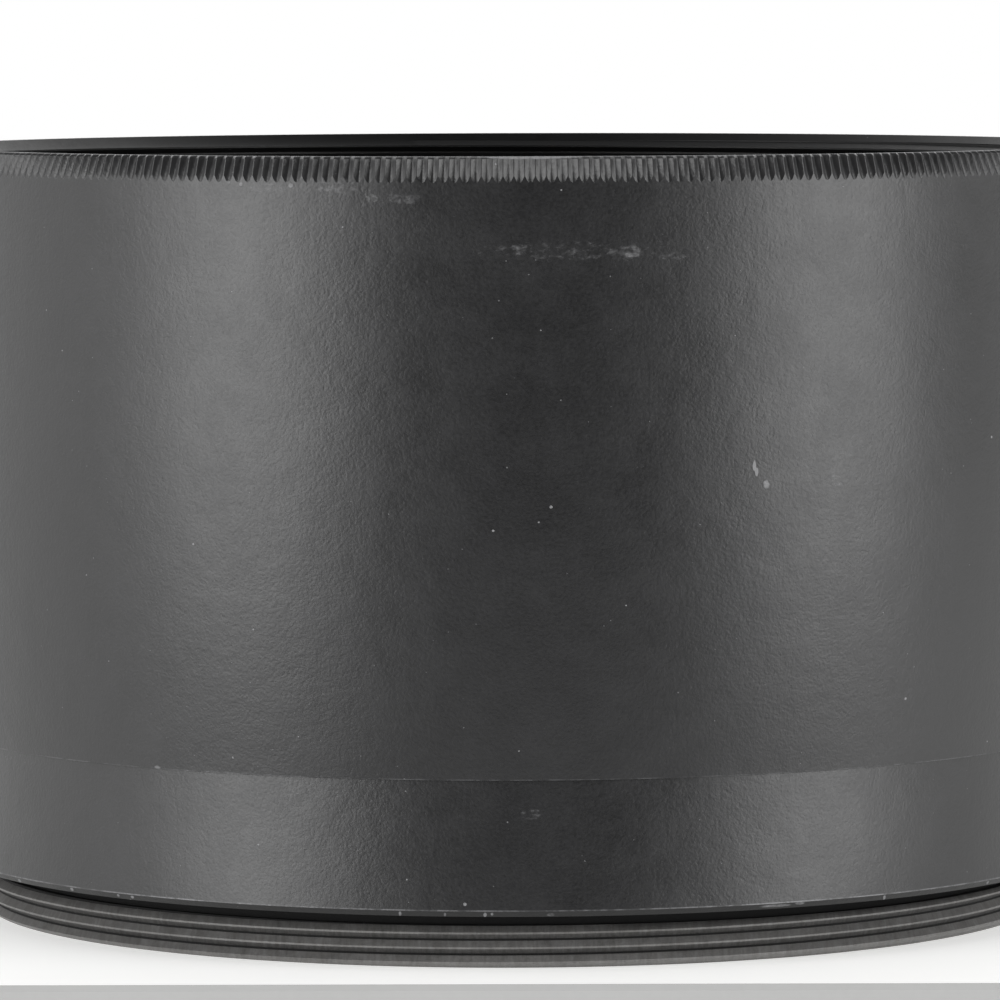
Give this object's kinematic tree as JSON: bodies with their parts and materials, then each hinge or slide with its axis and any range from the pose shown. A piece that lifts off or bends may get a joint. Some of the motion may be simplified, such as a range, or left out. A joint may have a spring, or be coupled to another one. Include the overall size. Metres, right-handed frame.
{
  "type": "telephoto conversion lens",
  "caption": "Front-mounted telephoto conversion lens: satin black barrel with a fluted rim, cemented doublets inside, front filter thread and an unscrewing rear mount ring.",
  "frame": {"origin": "centre of the mount thread's end face, on which the lens stands", "axes": "+Z along the optical axis, from the mount thread towards the front rim; X and Y are any two square directions"},
  "size_m": [0.0644, 0.0644, 0.041],
  "materials": {
    "anodised_black": "satin black anodised",
    "matt_black": "matt black paint",
    "coated_glass": "polished, with a thin green and magenta coating",
    "black_nylon": "moulded",
    "rubber": "soft matt",
    "brass": "rolled",
    "blackened_steel": "blackened"
  },
  "bodies": {
    "mount_ring": {"rear_mount_ring": "anodised_black"},
    "seal": {"mount_seal_ring": "rubber"},
    "barrel": {"main_barrel": "anodised_black", "front_trim_ring": "anodised_black", "front_cell": "anodised_black", "front_retaining_ring": "anodised_black", "rear_cell": "anodised_black", "rear_retaining_ring": "anodised_black", "baffle_tube": "matt_black", "front_light_stop": "matt_black", "rear_light_stop": "matt_black", "front_crown_element": "coated_glass", "front_flint_element": "coated_glass", "rear_biconcave_element": "coated_glass", "rear_meniscus_element": "coated_glass", "front_seat_washer": "black_nylon", "front_pressure_ring": "black_nylon", "rear_seat_washer": "black_nylon", "rear_pressure_ring": "black_nylon", "rear_cell_shim": "brass", "rear_cell_screws": "blackened_steel"}
  },
  "joints": [
    {"name": "barrel_lift", "type": "slide", "parent": "mount_ring", "child": "seal", "axis": [0, 0, 1], "range_m": [0, 0.003]},
    {"name": "barrel_turn", "type": "hinge", "parent": "seal", "child": "barrel", "pos_m": [0, 0, 0.00975], "axis": [0, 0, 1], "range_deg": [0, 1440]}
  ],
  "couplings": [
    {"joint": "barrel_lift", "follows": "barrel_turn", "m_per_rad": 0.00011937}
  ]
}
